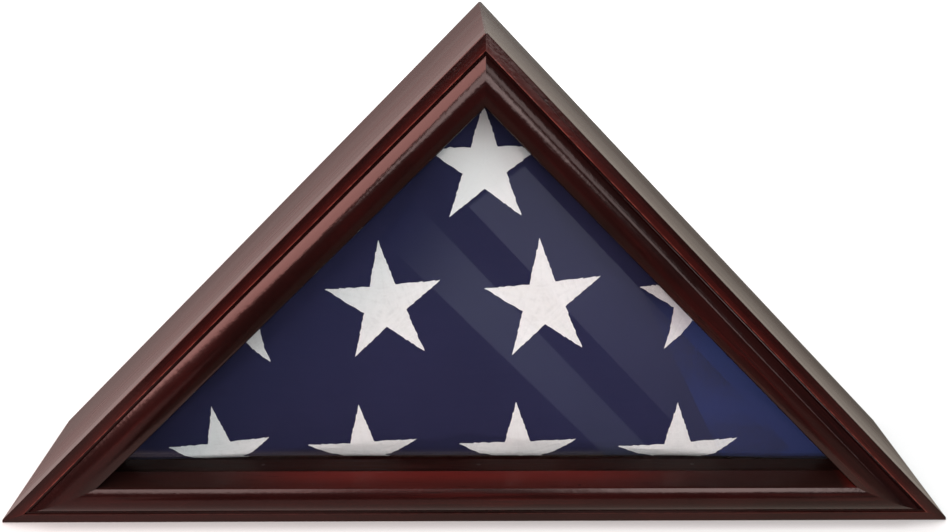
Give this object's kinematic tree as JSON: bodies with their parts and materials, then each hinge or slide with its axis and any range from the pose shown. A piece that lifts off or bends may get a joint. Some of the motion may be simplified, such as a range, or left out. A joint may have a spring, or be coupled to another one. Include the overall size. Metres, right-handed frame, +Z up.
{
  "type": "folded flag display case",
  "caption": "Triangular glazed shadow box for a folded flag: mitred boards, crowned front moulding, and a lift-off back held by turn buttons.",
  "frame": {"origin": "centre of the whole box at the height of the underside of the base", "axes": "+X to the right as seen from the front, +Y to the back, +Z up; the glass faces -Y"},
  "size_m": [0.4418, 0.1046, 0.2218],
  "materials": {
    "mahogany_finish": "dark red-brown mahogany stain under satin to semi-gloss lacquer",
    "dark_stained_wood": "dark stain, matt",
    "glass": "clear, polished",
    "flag_cloth": "navy woven cloth with white embroidered stars",
    "hardboard": "plain brown hardboard, smooth side out",
    "brass": "bright brass plate",
    "steel": "zinc-plated steel"
  },
  "bodies": {
    "case": {"side_board_left": "mahogany_finish", "side_board_right": "mahogany_finish", "base_board": "mahogany_finish", "front_moulding_left": "mahogany_finish", "front_moulding_right": "mahogany_finish", "front_moulding_bottom": "mahogany_finish", "moulding_wedges": "steel", "corner_brads": "steel", "glass_pane": "glass", "glazing_strip_left": "dark_stained_wood", "glazing_strip_right": "dark_stained_wood", "glazing_strip_bottom": "dark_stained_wood", "strip_brads": "steel", "turn_button_screws": "brass"},
    "panel": {"back_panel": "hardboard", "sawtooth_hanger_left": "steel", "sawtooth_hanger_right": "steel", "hanger_nails": "steel"},
    "flag": {"folded_flag": "flag_cloth"},
    "button_left": {"turn_button_left": "brass"},
    "button_right": {"turn_button_right": "brass"},
    "button_base_left": {"turn_button_base_left": "brass"},
    "button_base_right": {"turn_button_base_right": "brass"}
  },
  "joints": [
    {"name": "panel_lift", "type": "slide", "parent": "case", "child": "panel", "axis": [0, 1, 0], "range_m": [0, 0.24]},
    {"name": "flag_lift", "type": "slide", "parent": "case", "child": "flag", "axis": [0, 1, 0], "range_m": [0, 0.12]},
    {"name": "turn_left", "type": "hinge", "parent": "case", "child": "button_left", "pos_m": [-0.10317, 0.05, 0.11328], "axis": [0, -1, 0], "range_deg": [0, 90]},
    {"name": "turn_right", "type": "hinge", "parent": "case", "child": "button_right", "pos_m": [0.10317, 0.05, 0.11328], "axis": [0, 1, 0], "range_deg": [0, 90]},
    {"name": "turn_base_left", "type": "hinge", "parent": "case", "child": "button_base_left", "pos_m": [-0.095, 0.05, 0.0041], "axis": [0, 1, 0], "range_deg": [0, 90]},
    {"name": "turn_base_right", "type": "hinge", "parent": "case", "child": "button_base_right", "pos_m": [0.095, 0.05, 0.0041], "axis": [0, -1, 0], "range_deg": [0, 90]}
  ],
  "couplings": [
    {"joint": "flag_lift", "follows": "panel_lift", "ratio": 0.5}
  ]
}
